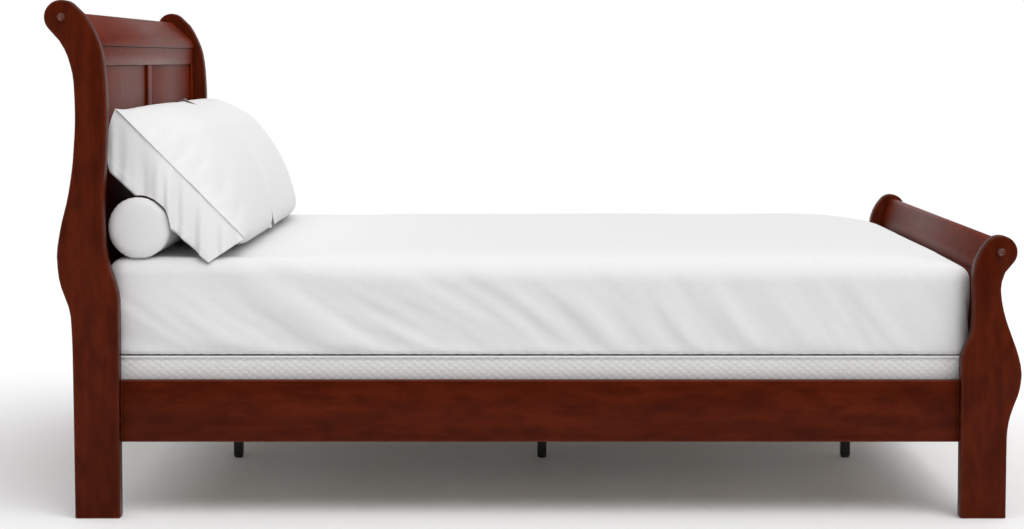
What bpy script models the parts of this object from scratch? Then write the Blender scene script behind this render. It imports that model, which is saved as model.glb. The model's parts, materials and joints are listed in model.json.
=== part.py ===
"""A queen-size sleigh bed with its foundation, mattress, sheet, pillows and bolster.

The frame comes apart as the real one does: two shaped end posts with a framed panel between them
at the head and at the foot, two side rails that hook into the posts, slats on ledgers, and three
centre legs with screw feet. X runs from head to foot, Y from left to right, Z up, in metres, and
the origin is on the floor in the middle of the bed.
"""

import math

import bmesh
import bpy
from mathutils import Vector

for old in list(bpy.data.objects):
    bpy.data.objects.remove(old)

# ---------------------------------------------------------------- driving dimensions
WIDTH = 1.620  # over the outer faces of the posts
RAIL_LENGTH = 1.962  # between the straight faces of the head and foot posts
HEAD_HEIGHT = 1.208  # floor to the top of the head roll
FOOT_HEIGHT = 0.662  # floor to the top of the foot roll
GAP = 0.0003  # between two pieces that touch

POST_THICK = 0.040
HEAD_LEG_WIDTH = 0.1045
FOOT_LEG_WIDTH = 0.106
POST_EDGE = 0.003  # eased edge of the posts
HEAD_ROLL_RADIUS = 0.040
HEAD_ROLL_OUT = 0.1245  # roll centre behind the leg's straight face
FOOT_ROLL_RADIUS = 0.0385
FOOT_ROLL_OUT = 0.0885
FOOT_BULGE_OUT = 0.140

RAIL_THICK = 0.024
RAIL_HEIGHT = 0.145
RAIL_BOTTOM = 0.177
RAIL_INSET = 0.020  # rail face behind the post face
RAIL_EDGE = 0.002

FRAME_THICK = 0.026  # stiles and rails that hold the panels
PANEL_THICK = 0.008
PANEL_RECESS = 0.006
PANEL_TONGUE = 0.008  # how far a panel reaches into its grooves
END_STILE = 0.040
CENTRE_STILE = 0.060
HEAD_FACE_OUT = 0.059  # face of the head frame behind the leg's straight face
HEAD_TOP_RAIL = 0.047
HEAD_BOTTOM_RAIL = 0.100
HEAD_BOTTOM = 0.300
FOOT_FACE_OUT = 0.059
FOOT_TOP_RAIL = 0.067
FOOT_BOTTOM_RAIL = 0.080
FOOT_BOTTOM = 0.180
CREST_DROP = 0.105  # top of the roll down to the underside of the head crest
FOOT_CREST_DROP = 0.095

ROSETTE_RADIUS = 0.0105
ROSETTE_STAND = 0.0055

CATCH_MARGIN = 0.0015  # wood left on each side of a catch plate
CATCH_HEIGHT = 0.110
CATCH_THICK = 0.002
HOOK_THICK = 0.0034
HOOK_PLATE_DEPTH = 0.033
HOOK_PLATE_HEIGHT = 0.107
HOOK_REACH = 0.010
HOOK_NECK = 0.018
HOOK_LIP = 0.010
HOOK_SPACING = 0.055
HOOK_RISE = 0.031  # middle of a rail to the top of its upper hook
HOOK_POCKET = 0.020  # depth of the pocket behind a catch plate
POCKET_HALF = 0.004  # half of that pocket's width
OVERCUT = 0.002  # how far a cutter runs past the face it cuts
FIT = 0.0003  # clearance of let-in hardware

LEDGER_THICK = 0.028
LEDGER_HEIGHT = 0.025
LEDGER_INSET = 0.045
SLAT_SEAT = 0.059  # underside of the rails to the top of the slats
SLAT_COUNT = 5
SLAT_WIDTH = 0.070
SLAT_THICK = 0.019
FIRST_SLAT = 0.172  # head post face to the first slat's centre
LAST_SLAT = 0.156  # last slat's centre to the foot post face
LEG_SIDE = 0.0245
LEVELLER_THICK = 0.005
LEVELLER_RADIUS = 0.0115
STEM_RADIUS = 0.004
STEM_LENGTH = 0.034
STEM_CLEARANCE = 0.0005

FOUNDATION_HEIGHT = 0.1395
FOUNDATION_CORNER = 0.040
FOUNDATION_EDGE = 0.010  # rounding of its top edge
FOUNDATION_CLEARANCE = 0.006  # foundation to a side rail
MATTRESS_HEIGHT = 0.2265
MATTRESS_CLEARANCE = 0.0075  # sheet to a post's inner face
SHEET_THICK = 0.002
HEM_HEIGHT = 0.003  # the sheet's hem above the mattress's underside
HEAD_CLEARANCE = 0.0205  # head frame face to the foundation
FOOT_CLEARANCE = 0.0235  # foundation to the foot frame face
CORNER_RADIUS = 0.045
TOP_EDGE_RADIUS = 0.040

BOLSTER_RADIUS = 0.070
BOLSTER_CLEARANCE = 0.015  # bolster end to a post's inner face
BOLSTER_BEHIND = 0.1005  # head frame face to the bolster's axis
PILLOW_SIDE = 0.013  # pillow's outer end to a post's inner face
PILLOW_GAP = 0.022  # pillow's inner end to the middle of the bed
PILLOW_BACK = 0.011  # pillow to the head frame face
PILLOW_CLEARANCE = 0.007  # pillow over the bolster
PILLOW_FRONT = 0.2425  # bolster's axis to the pillow's front edge

# ---------------------------------------------------------------- places worked out from them
LENGTH = HEAD_ROLL_OUT + HEAD_ROLL_RADIUS + RAIL_LENGTH + FOOT_BULGE_OUT
HEAD_LINE = -LENGTH / 2 + HEAD_ROLL_OUT + HEAD_ROLL_RADIUS  # straight face of the head posts
FOOT_LINE = HEAD_LINE + RAIL_LENGTH  # straight face of the foot posts
POST_OUTER = WIDTH / 2
POST_INNER = POST_OUTER - POST_THICK
RAIL_OUTER = POST_OUTER - RAIL_INSET
RAIL_INNER = RAIL_OUTER - RAIL_THICK
RAIL_MIDDLE = RAIL_BOTTOM + RAIL_HEIGHT / 2
SEAM = (max(POST_INNER, RAIL_INNER), RAIL_OUTER)  # where a rail's end meets the post, in y
CATCH_Y = sum(SEAM) / 2  # the plane of the hook plates
CATCH_WIDTH = SEAM[1] - SEAM[0] - 2 * CATCH_MARGIN
SLAT_TOP = RAIL_BOTTOM + SLAT_SEAT
SLAT_PITCH = (RAIL_LENGTH - FIRST_SLAT - LAST_SLAT) / (SLAT_COUNT - 1)
LEDGER_TOP = SLAT_TOP - SLAT_THICK - GAP
HEAD_ROLL_Z = HEAD_HEIGHT - HEAD_ROLL_RADIUS
FOOT_ROLL_Z = FOOT_HEIGHT - FOOT_ROLL_RADIUS
HEAD_FACE_X = HEAD_LINE - HEAD_FACE_OUT
FOUNDATION_X = HEAD_FACE_X + HEAD_CLEARANCE
FOUNDATION_LENGTH = FOOT_LINE + FOOT_FACE_OUT - FOOT_CLEARANCE - FOUNDATION_X
FOUNDATION_WIDTH = 2 * (RAIL_INNER - FOUNDATION_CLEARANCE)
FOUNDATION_Z = SLAT_TOP + GAP
MATTRESS_Z = FOUNDATION_Z + FOUNDATION_HEIGHT + GAP
SKIN = GAP + SHEET_THICK  # the sheet stands this far outside the mattress
MATTRESS_LENGTH = FOUNDATION_LENGTH - 2 * SKIN
MATTRESS_WIDTH = 2 * (POST_INNER - MATTRESS_CLEARANCE - SKIN)
SHEET_TOP = MATTRESS_Z + MATTRESS_HEIGHT + SKIN
BOLSTER_X = HEAD_FACE_X + BOLSTER_BEHIND
BOLSTER_Z = SHEET_TOP + GAP + BOLSTER_RADIUS
BOLSTER_LENGTH = 2 * (POST_INNER - BOLSTER_CLEARANCE)
PILLOW_WIDTH = POST_INNER - PILLOW_SIDE - PILLOW_GAP
PILLOW_BACK_X = HEAD_FACE_X + PILLOW_BACK
SIDES = {"left": -1, "right": 1}


# ---------------------------------------------------------------- materials and helpers
def finish(name, colour, roughness, metallic=0.0):
    """One plain Principled material."""
    material = bpy.data.materials.new(name)
    material.use_nodes = True
    shader = material.node_tree.nodes["Principled BSDF"]
    shader.inputs["Base Color"].default_value = (*colour, 1)
    shader.inputs["Roughness"].default_value = roughness
    shader.inputs["Metallic"].default_value = metallic
    return material


CHERRY = finish("cherry_lacquer", (0.070, 0.010, 0.003), 0.32)
PINE = finish("raw_pine", (0.55, 0.38, 0.20), 0.65)
STEEL = finish("zinc_steel", (0.50, 0.50, 0.48), 0.35, 1.0)
BLACK = finish("black_paint", (0.010, 0.010, 0.010), 0.45)
KNIT = finish("quilted_knit", (0.70, 0.70, 0.70), 0.85)
FOAM = finish("mattress_cover", (0.75, 0.74, 0.72), 0.85)
COTTON = finish("white_cotton", (0.85, 0.85, 0.86), 0.80)


def place(name, bm, material, smooth=False, origin=(0, 0, 0)):
    """Turn a bmesh in world places into a named object whose origin is at the given point."""
    bmesh.ops.recalc_face_normals(bm, faces=bm.faces)
    bmesh.ops.translate(bm, verts=bm.verts, vec=-Vector(origin))
    mesh = bpy.data.meshes.new(name)
    bm.to_mesh(mesh)
    bm.free()
    if smooth:
        mesh.shade_smooth()
        mesh.set_sharp_from_angle(angle=math.radians(40))
    mesh.materials.append(material)
    piece = bpy.data.objects.new(name, mesh)
    piece.location = origin
    bpy.context.scene.collection.objects.link(piece)
    return piece


def ease(piece, width, segments=2):
    """Round the sharp edges of a piece."""
    bevel = piece.modifiers.new("eased_edge", "BEVEL")
    bevel.width = width
    bevel.segments = segments
    bevel.limit_method = "ANGLE"
    bevel.angle_limit = math.radians(50)


def cut(piece, cutter):
    """Take a cutter's shape out of a piece."""
    cutter.hide_render = True
    cutter.display_type = "WIRE"
    boolean = piece.modifiers.new("cut", "BOOLEAN")
    boolean.operation = "DIFFERENCE"
    boolean.object = cutter


def block_mesh(low, high):
    """A box between two corners, as a bmesh."""
    bm = bmesh.new()
    bmesh.ops.create_cube(bm, size=1)
    size = Vector(high) - Vector(low)
    bmesh.ops.scale(bm, verts=bm.verts, vec=size)
    bmesh.ops.translate(bm, verts=bm.verts, vec=(Vector(high) + Vector(low)) / 2)
    return bm


def block(name, low, high, material, origin=(0, 0, 0)):
    return place(name, block_mesh(low, high), material, origin=origin)


def extrude_outline(name, points, vector, material, smooth=False):
    """Extrude a closed outline of 3-D points along a vector."""
    bm = bmesh.new()
    face = bm.faces.new([bm.verts.new(p) for p in points])
    grown = bmesh.ops.extrude_face_region(bm, geom=[face])
    moved = [v for v in grown["geom"] if isinstance(v, bmesh.types.BMVert)]
    bmesh.ops.translate(bm, verts=moved, vec=vector)
    return place(name, bm, material, smooth=smooth)


def turned(name, profile, centre, axis, material, steps):
    """Spin a profile of (radius, height) pairs around an axis through the centre."""
    bm = bmesh.new()
    verts = [bm.verts.new((r, 0, h)) for r, h in profile]
    edges = [bm.edges.new(pair) for pair in zip(verts, verts[1:])]
    bmesh.ops.spin(
        bm, geom=verts + edges, axis=(0, 0, 1), cent=(0, 0, 0), angle=math.tau, steps=steps,
        use_merge=True,
    )
    bmesh.ops.remove_doubles(bm, verts=bm.verts, dist=1e-6)
    turn = Vector((0, 0, 1)).rotation_difference(Vector(axis)).to_matrix()
    bmesh.ops.rotate(bm, verts=bm.verts, cent=(0, 0, 0), matrix=turn)
    bmesh.ops.translate(bm, verts=bm.verts, vec=centre)
    return place(name, bm, material, smooth=True, origin=centre)


def smooth_edge(points, step):
    """Points every step in height along a smooth curve out(z) through (out, z) points.

    The slopes are those of a monotone cubic, so the curve never bulges past its points.
    """
    slopes = [(b[0] - a[0]) / (b[1] - a[1]) for a, b in zip(points, points[1:])]
    tangents = [slopes[0]]
    for before, after in zip(slopes, slopes[1:]):
        mean = 2 * before * after / (before + after) if before * after > 0 else 0.0
        tangents.append(mean)
    tangents.append(slopes[-1])
    curve = []
    spans = zip(points, points[1:], tangents, tangents[1:])
    for (u0, z0), (u1, z1), t0, t1 in spans:
        height = z1 - z0
        straight = abs(u1 - u0 - t0 * height) < 1e-6 and abs(t0 - t1) < 1e-6
        count = 1 if straight else max(1, round(abs(height) / step))
        for i in range(count):
            s = i / count
            curve.append((
                (2 * s**3 - 3 * s**2 + 1) * u0 + (s**3 - 2 * s**2 + s) * height * t0
                + (3 * s**2 - 2 * s**3) * u1 + (s**3 - s**2) * height * t1,
                z0 + s * height,
            ))
    return curve + [points[-1]]


def arc(centre, radius, start, end, count):
    """Points along an arc, with its angles in degrees, from outward towards up."""
    angles = [math.radians(start + (end - start) * i / count) for i in range(count + 1)]
    return [(centre[0] + radius * math.cos(a), centre[1] + radius * math.sin(a)) for a in angles]


# ---------------------------------------------------------------- outlines of the two ends
# Each outline is in (out, z): out is measured from the posts' straight face, away from the
# mattress. The curves hang from the roll, so a higher end gets a longer straight leg.
def head_outline():
    roll = (HEAD_ROLL_OUT, HEAD_ROLL_Z)
    back_start, front_end = -42.5, 140
    back = [
        (HEAD_LEG_WIDTH, 0.0), (HEAD_LEG_WIDTH + 0.0025, HEAD_ROLL_Z - 0.784),
        (0.1105, HEAD_ROLL_Z - 0.695), (0.137, HEAD_ROLL_Z - 0.605), (0.141, HEAD_ROLL_Z - 0.555),
        (0.133, HEAD_ROLL_Z - 0.495), (0.113, HEAD_ROLL_Z - 0.410), (0.101, HEAD_ROLL_Z - 0.325),
        (0.0955, HEAD_ROLL_Z - 0.225), (0.098, HEAD_ROLL_Z - 0.150), (0.1105, HEAD_ROLL_Z - 0.092),
        (0.130, HEAD_ROLL_Z - 0.054),
    ]
    top = arc(roll, HEAD_ROLL_RADIUS, back_start, front_end, 20)
    front = [
        (0.0715, HEAD_ROLL_Z + 0.004), (0.048, HEAD_ROLL_Z - 0.039), (0.034, HEAD_ROLL_Z - 0.078),
        (0.0265, HEAD_ROLL_Z - 0.133), (0.023, HEAD_ROLL_Z - 0.215), (0.026, HEAD_ROLL_Z - 0.308),
        (0.033, HEAD_ROLL_Z - 0.450), (0.031, HEAD_ROLL_Z - 0.528),
        (0.0205, HEAD_ROLL_Z - 0.582), (0.0075, HEAD_ROLL_Z - 0.620), (0.0, HEAD_ROLL_Z - 0.660),
        (0.0, 0.0),
    ]
    rise = smooth_edge(back + [top[0]], 0.022)
    fall = smooth_edge([top[-1]] + front, 0.022)
    return rise[:-1] + top[:-1] + fall


def foot_outline():
    roll = (FOOT_ROLL_OUT, FOOT_ROLL_Z)
    outer = [
        (FOOT_LEG_WIDTH, 0.0), (FOOT_LEG_WIDTH + 0.001, FOOT_ROLL_Z - 0.433),
        (0.111, FOOT_ROLL_Z - 0.397), (0.120, FOOT_ROLL_Z - 0.366),
        (0.136, FOOT_ROLL_Z - 0.320), (FOOT_BULGE_OUT, FOOT_ROLL_Z - 0.285),
        (0.1325, FOOT_ROLL_Z - 0.243), (0.1195, FOOT_ROLL_Z - 0.205),
        (0.102, FOOT_ROLL_Z - 0.156), (0.0930, FOOT_ROLL_Z - 0.118),
        (0.0897, FOOT_ROLL_Z - 0.086), (0.0918, FOOT_ROLL_Z - 0.068),
        (0.0990, FOOT_ROLL_Z - 0.0475),
    ]
    top = arc(roll, FOOT_ROLL_RADIUS, -40, 143, 20)
    inner = [
        (0.047, FOOT_ROLL_Z + 0.0095), (0.037, FOOT_ROLL_Z - 0.009), (0.030, FOOT_ROLL_Z - 0.028),
        (0.0255, FOOT_ROLL_Z - 0.060), (0.0275, FOOT_ROLL_Z - 0.125),
        (0.026, FOOT_ROLL_Z - 0.180), (0.018, FOOT_ROLL_Z - 0.204), (0.0085, FOOT_ROLL_Z - 0.224),
        (0.001, FOOT_ROLL_Z - 0.243), (0.0, FOOT_ROLL_Z - 0.256), (0.0, 0.0),
    ]
    rise = smooth_edge(outer + [top[0]], 0.018)
    fall = smooth_edge([top[-1]] + inner, 0.018)
    return rise[:-1] + top[:-1] + fall


def head_crest_outline():
    """Moulding across the top of the head, rolled back over itself."""
    bottom = HEAD_HEIGHT - CREST_DROP
    roll = (0.1315, bottom + 0.0555)
    front = [(0.0554, bottom), (0.057, bottom + 0.008), (0.0625, bottom + 0.0215),
             (0.077, bottom + 0.038), (0.0915, bottom + 0.052)]
    back = [(0.1265, bottom + 0.0245), (0.112, bottom + 0.012), (0.102, bottom)]
    return smooth_edge(front, 0.009) + arc(roll, 0.0235, 118, -58, 14) + back


def foot_crest_outline():
    bottom = FOOT_HEIGHT - FOOT_CREST_DROP
    roll = (0.094, bottom + 0.060)
    inner = [(FOOT_FACE_OUT, bottom), (0.0600, bottom + 0.016), (0.0655, bottom + 0.035),
             (0.0745, bottom + 0.059)]
    outer = [(0.099, bottom + 0.033), (0.089, bottom + 0.018), (0.083, bottom)]
    return smooth_edge(inner, 0.009) + arc(roll, 0.022, 128, -45, 12) + outer


class End:
    """One end of the bed: where its outward direction points and where its frame sits."""

    def __init__(self, name, line, out_sign, face_out, bottom, top, rails):
        self.name = name
        self.line = line
        self.sign = out_sign
        self.face_out = face_out
        self.bottom = bottom
        self.top = top
        self.bottom_rail, self.top_rail = rails

    def x(self, out):
        return self.line + self.sign * out


HEAD = End("head", HEAD_LINE, -1, HEAD_FACE_OUT, HEAD_BOTTOM, HEAD_HEIGHT - CREST_DROP - GAP,
           (HEAD_BOTTOM_RAIL, HEAD_TOP_RAIL))
FOOT = End("foot", FOOT_LINE, 1, FOOT_FACE_OUT, FOOT_BOTTOM, FOOT_HEIGHT - FOOT_CREST_DROP - GAP,
           (FOOT_BOTTOM_RAIL, FOOT_TOP_RAIL))


# ---------------------------------------------------------------- rail hooks and their catches
NECK_TOP = RAIL_MIDDLE + HOOK_RISE  # top of the upper hook
SLOT_HEIGHT = HOOK_NECK + HOOK_LIP + 2 * FIT


def hook_plate_outline():
    """Outline in (reach into the rail, z); the hooks point the other way and down."""
    low, high = RAIL_MIDDLE - HOOK_PLATE_HEIGHT / 2, RAIL_MIDDLE + HOOK_PLATE_HEIGHT / 2
    lip = -(2 * FIT + CATCH_THICK)
    points = [(HOOK_PLATE_DEPTH, low), (HOOK_PLATE_DEPTH, high), (FIT, high)]
    for top in (NECK_TOP, NECK_TOP - HOOK_SPACING):
        neck = top - HOOK_NECK
        points += [(FIT, top), (-HOOK_REACH, top), (-HOOK_REACH, neck - HOOK_LIP),
                   (lip, neck - HOOK_LIP), (lip, neck), (FIT, neck)]
    return points + [(FIT, low)]


def add_catch(end, side_name, side, post):
    """Let a slotted plate into the post's straight face, with a pocket behind it."""
    y = side * CATCH_Y
    low, high = RAIL_MIDDLE - CATCH_HEIGHT / 2, RAIL_MIDDLE + CATCH_HEIGHT / 2

    def span(out_low, out_high, half_width, z_low, z_high):
        xs = sorted((end.x(out_low), end.x(out_high)))
        return (xs[0], y - half_width, z_low), (xs[1], y + half_width, z_high)

    recess = span(-OVERCUT, CATCH_THICK + 2 * FIT, CATCH_WIDTH / 2 + FIT, low - FIT, high + FIT)
    pocket_low = NECK_TOP - HOOK_SPACING - HOOK_NECK - HOOK_LIP - OVERCUT
    pocket = span(CATCH_THICK / 2, HOOK_POCKET, POCKET_HALF, pocket_low, NECK_TOP + 2 * OVERCUT)
    tag = f"{end.name}_{side_name}"
    cut(post, block(f"recess_{tag}", *recess, STEEL))
    cut(post, block(f"pocket_{tag}", *pocket, STEEL))
    plate = block(f"catch_plate_{tag}",
                  *span(FIT, FIT + CATCH_THICK, CATCH_WIDTH / 2, low, high), STEEL)
    for number, top in enumerate((NECK_TOP, NECK_TOP - HOOK_SPACING)):
        slot_low = top - HOOK_NECK - FIT
        slot = span(-OVERCUT, CATCH_THICK + OVERCUT, HOOK_THICK / 2 + 2 * FIT,
                    slot_low, slot_low + SLOT_HEIGHT)
        cut(plate, block(f"slot_{tag}_{number}", *slot, STEEL))


# ---------------------------------------------------------------- head and foot ends
def add_post(end, side_name, outline):
    side = SIDES[side_name]
    inner_y = side * POST_INNER
    points = [(end.x(out), inner_y, z) for out, z in outline]
    post = extrude_outline(f"{end.name}_post_{side_name}", points,
                           (0, side * POST_THICK, 0), CHERRY, smooth=True)
    ease(post, POST_EDGE)
    add_catch(end, side_name, side, post)


def add_rosette(end, side_name, roll_out, roll_z):
    """A turned button with a hollow centre on the post's outer face, in line with the roll."""
    side = SIDES[side_name]
    r, h = ROSETTE_RADIUS, ROSETTE_STAND
    profile = [(0, 0), (r, 0), (r, 0.3 * h), (0.93 * r, 0.65 * h), (0.76 * r, h), (0.58 * r, h),
               (0.40 * r, 0.72 * h), (0, 0.50 * h)]
    centre = (end.x(roll_out), side * (POST_OUTER + GAP), roll_z)
    turned(f"{end.name}_rosette_{side_name}", profile, centre, (0, side, 0), CHERRY, 20)


def grooved(name, end, span_axis, low, high, edges, start, stop):
    """A stile or rail with a groove along the edges that meet a panel.

    Its section lies in (across, out), where across runs from low to high, and it is extruded
    along span_axis from start to stop.
    """
    face, back = end.face_out, end.face_out + FRAME_THICK
    g0 = face + PANEL_RECESS - FIT
    g1 = face + PANEL_RECESS + PANEL_THICK + FIT
    depth = PANEL_TONGUE + FIT
    section = [(low, face)]
    if "low" in edges:
        section += [(low, g0), (low + depth, g0), (low + depth, g1), (low, g1)]
    section += [(low, back), (high, back)]
    if "high" in edges:
        section += [(high, g1), (high - depth, g1), (high - depth, g0), (high, g0)]
    section += [(high, face)]
    if span_axis == "z":
        points = [(end.x(out), across, start) for across, out in section]
        vector = (0, 0, stop - start)
    else:
        points = [(end.x(out), start, across) for across, out in section]
        vector = (0, stop - start, 0)
    extrude_outline(name, points, vector, CHERRY)


def add_panel_frame(end):
    """Rails across, stiles between them, and two plain panels held in their grooves."""
    edge = POST_INNER - GAP
    low = end.bottom + end.bottom_rail
    high = end.top - end.top_rail
    grooved(f"{end.name}_bottom_rail", end, "y", end.bottom, low, ("high",), -edge, edge)
    grooved(f"{end.name}_top_rail", end, "y", high, end.top, ("low",), -edge, edge)
    half = CENTRE_STILE / 2
    inside = edge - END_STILE
    grooved(f"{end.name}_centre_stile", end, "z", -half, half, ("low", "high"),
            low + GAP, high - GAP)
    grooved(f"{end.name}_end_stile_left", end, "z", -edge, -inside, ("high",),
            low + GAP, high - GAP)
    grooved(f"{end.name}_end_stile_right", end, "z", inside, edge, ("low",),
            low + GAP, high - GAP)
    face = end.face_out + PANEL_RECESS
    for side_name, side in SIDES.items():
        ys = sorted((side * (half - PANEL_TONGUE), side * (inside + PANEL_TONGUE)))
        xs = sorted((end.x(face), end.x(face + PANEL_THICK)))
        block(f"{end.name}_panel_{side_name}", (xs[0], ys[0], low - PANEL_TONGUE),
              (xs[1], ys[1], high + PANEL_TONGUE), CHERRY)


def add_crest(end, outline):
    edge = POST_INNER - GAP
    points = [(end.x(out), -edge, z) for out, z in outline]
    extrude_outline(f"{end.name}_crest", points, (0, 2 * edge, 0), CHERRY, smooth=True)


for end, outline, crest, roll in (
    (HEAD, head_outline(), head_crest_outline(), (HEAD_ROLL_OUT, HEAD_ROLL_Z)),
    (FOOT, foot_outline(), foot_crest_outline(), (FOOT_ROLL_OUT, FOOT_ROLL_Z)),
):
    for side_name in SIDES:
        add_post(end, side_name, outline)
        add_rosette(end, side_name, *roll)
    add_crest(end, crest)
    add_panel_frame(end)


# ---------------------------------------------------------------- side rails and their hooks
def add_hook_plate(end, side_name, side, rail):
    y = side * CATCH_Y
    tag = f"{end.name}_{side_name}"
    points = [(end.x(-reach), y - HOOK_THICK / 2, z) for reach, z in hook_plate_outline()]
    extrude_outline(f"hook_plate_{tag}", points, (0, HOOK_THICK, 0), STEEL)
    xs = sorted((end.x(0.002), end.x(-(HOOK_PLATE_DEPTH + FIT))))
    half = HOOK_PLATE_HEIGHT / 2 + FIT
    slot = block(f"rail_slot_{tag}", (xs[0], y - HOOK_THICK / 2 - FIT, RAIL_MIDDLE - half),
                 (xs[1], y + HOOK_THICK / 2 + FIT, RAIL_MIDDLE + half), STEEL)
    cut(rail, slot)


for side_name, side in SIDES.items():
    ys = sorted((side * RAIL_INNER, side * RAIL_OUTER))
    rail = block(f"side_rail_{side_name}", (HEAD_LINE + GAP, ys[0], RAIL_BOTTOM),
                 (FOOT_LINE - GAP, ys[1], RAIL_BOTTOM + RAIL_HEIGHT), CHERRY)
    ease(rail, RAIL_EDGE)
    for end in (HEAD, FOOT):
        add_hook_plate(end, side_name, side, rail)
    ys = sorted((side * (RAIL_INNER - GAP), side * (RAIL_INNER - GAP - LEDGER_THICK)))
    block(f"ledger_{side_name}", (HEAD_LINE + LEDGER_INSET, ys[0], LEDGER_TOP - LEDGER_HEIGHT),
          (FOOT_LINE - LEDGER_INSET, ys[1], LEDGER_TOP), PINE)


# ---------------------------------------------------------------- slats, centre legs, screw feet
def add_centre_leg(number, x):
    """A square leg under a slat, with a bore from below for the foot's stem."""
    half = LEG_SIDE / 2
    bottom, top = LEVELLER_THICK + GAP, SLAT_TOP - SLAT_THICK - GAP
    leg = block(f"centre_leg_{number}", (x - half, -half, bottom), (x + half, half, top), BLACK)
    ease(leg, 0.0015)
    bore_radius = STEM_RADIUS + STEM_CLEARANCE
    bore_top = LEVELLER_THICK + STEM_LENGTH + 0.001
    bore = turned(f"bore_{number}",
                  [(0, 0), (bore_radius, 0), (bore_radius, bore_top), (0, bore_top)],
                  (x, 0, 0), (0, 0, 1), BLACK, 16)
    cut(leg, bore)
    stem_top = LEVELLER_THICK + STEM_LENGTH
    profile = [(0, 0), (LEVELLER_RADIUS - 0.001, 0), (LEVELLER_RADIUS, 0.001),
               (LEVELLER_RADIUS, LEVELLER_THICK), (STEM_RADIUS, LEVELLER_THICK),
               (STEM_RADIUS, stem_top - 0.001), (STEM_RADIUS - 0.001, stem_top), (0, stem_top)]
    turned(f"leveller_{number}", profile, (x, 0, 0), (0, 0, 1), BLACK, 16)


for number in range(1, SLAT_COUNT + 1):
    x = HEAD_LINE + FIRST_SLAT + (number - 1) * SLAT_PITCH
    reach = RAIL_INNER - GAP
    slat = block(f"slat_{number}", (x - SLAT_WIDTH / 2, -reach, SLAT_TOP - SLAT_THICK),
                 (x + SLAT_WIDTH / 2, reach, SLAT_TOP), PINE)
    ease(slat, 0.0015, 1)
    if number % 2:
        add_centre_leg((number + 1) // 2, x)


# ---------------------------------------------------------------- foundation, mattress, sheet
def cushion_block(length, width, height, corner, top_edge, bottom_edge):
    """A box on its base, rounded in plan at its corners and along its top and bottom edges."""
    bm = block_mesh((0, -width / 2, 0), (length, width / 2, height))
    upright = [e for e in bm.edges if abs(e.verts[0].co.z - e.verts[1].co.z) > height / 2]
    bmesh.ops.bevel(bm, geom=upright, offset=corner, segments=4, profile=0.5, affect="EDGES",
                    material=-1)
    for level, radius, segments in ((height, top_edge, 4), (0, bottom_edge, 2)):
        loop = [e for e in bm.edges if all(abs(v.co.z - level) < 1e-6 for v in e.verts)]
        bmesh.ops.bevel(bm, geom=loop, offset=radius, segments=segments, profile=0.5,
                        affect="EDGES", material=-1)
    return bm


def move(bm, vector):
    bmesh.ops.translate(bm, verts=bm.verts, vec=vector)
    return bm


bm = cushion_block(FOUNDATION_LENGTH, FOUNDATION_WIDTH, FOUNDATION_HEIGHT,
                   FOUNDATION_CORNER, FOUNDATION_EDGE, 0.010)
place("foundation", move(bm, (FOUNDATION_X, 0, FOUNDATION_Z)), KNIT)

bm = cushion_block(MATTRESS_LENGTH, MATTRESS_WIDTH, MATTRESS_HEIGHT, CORNER_RADIUS,
                   TOP_EDGE_RADIUS, 0.012)
place("mattress", move(bm, (FOUNDATION_X + SKIN, 0, MATTRESS_Z)), FOAM)

bm = cushion_block(MATTRESS_LENGTH + 2 * GAP, MATTRESS_WIDTH + 2 * GAP, MATTRESS_HEIGHT + GAP,
                   CORNER_RADIUS + GAP, TOP_EDGE_RADIUS + GAP, 0.012)
below = [f for f in bm.faces if f.calc_center_median().z < HEM_HEIGHT]
bmesh.ops.delete(bm, geom=below, context="FACES")
loose = [v for v in bm.verts if not v.link_faces]
bmesh.ops.delete(bm, geom=loose, context="VERTS")
sheet = place("fitted_sheet", move(bm, (FOUNDATION_X + SHEET_THICK, 0, MATTRESS_Z)), COTTON)
shell = sheet.modifiers.new("cloth", "SOLIDIFY")
shell.thickness = SHEET_THICK
shell.offset = 1
shell.use_even_offset = True


# ---------------------------------------------------------------- bolster and pillows
def add_bolster():
    half, r = BOLSTER_LENGTH / 2, BOLSTER_RADIUS
    soft = 0.024  # how far the rounding runs where a round end is sewn to the tube
    profile = [(0, -half), (r * 0.7, -half + 0.08 * soft), (r - 0.5 * soft, -half + 0.25 * soft),
               (r - 0.125 * soft, -half + 0.55 * soft), (r, -half + soft)]
    profile += [(radius, -height) for radius, height in reversed(profile)]
    turned("bolster", profile, (BOLSTER_X, 0, BOLSTER_Z), (0, 1, 0), COTTON, 32)


def pillow_under():
    """Underside from the head panel, over the bolster, down to the mattress; (x, z) points."""
    wrap = BOLSTER_RADIUS + PILLOW_CLEARANCE
    points = [(PILLOW_BACK_X, BOLSTER_Z + wrap + 0.072),
              (BOLSTER_X - 0.060, BOLSTER_Z + wrap + 0.030)]
    for angle in (88, 66, 44, 22, 0):
        a = math.radians(angle)
        points.append((BOLSTER_X + wrap * math.cos(a), BOLSTER_Z + wrap * math.sin(a)))
    slope = BOLSTER_RADIUS / 2
    points += [(BOLSTER_X + wrap + 0.004, BOLSTER_Z - slope),
               (BOLSTER_X + wrap + 0.016, BOLSTER_Z - slope - 0.020),
               (BOLSTER_X + wrap + 0.040, SHEET_TOP + GAP)]
    return points + [(BOLSTER_X + PILLOW_FRONT - 0.012, SHEET_TOP + GAP)]


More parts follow.
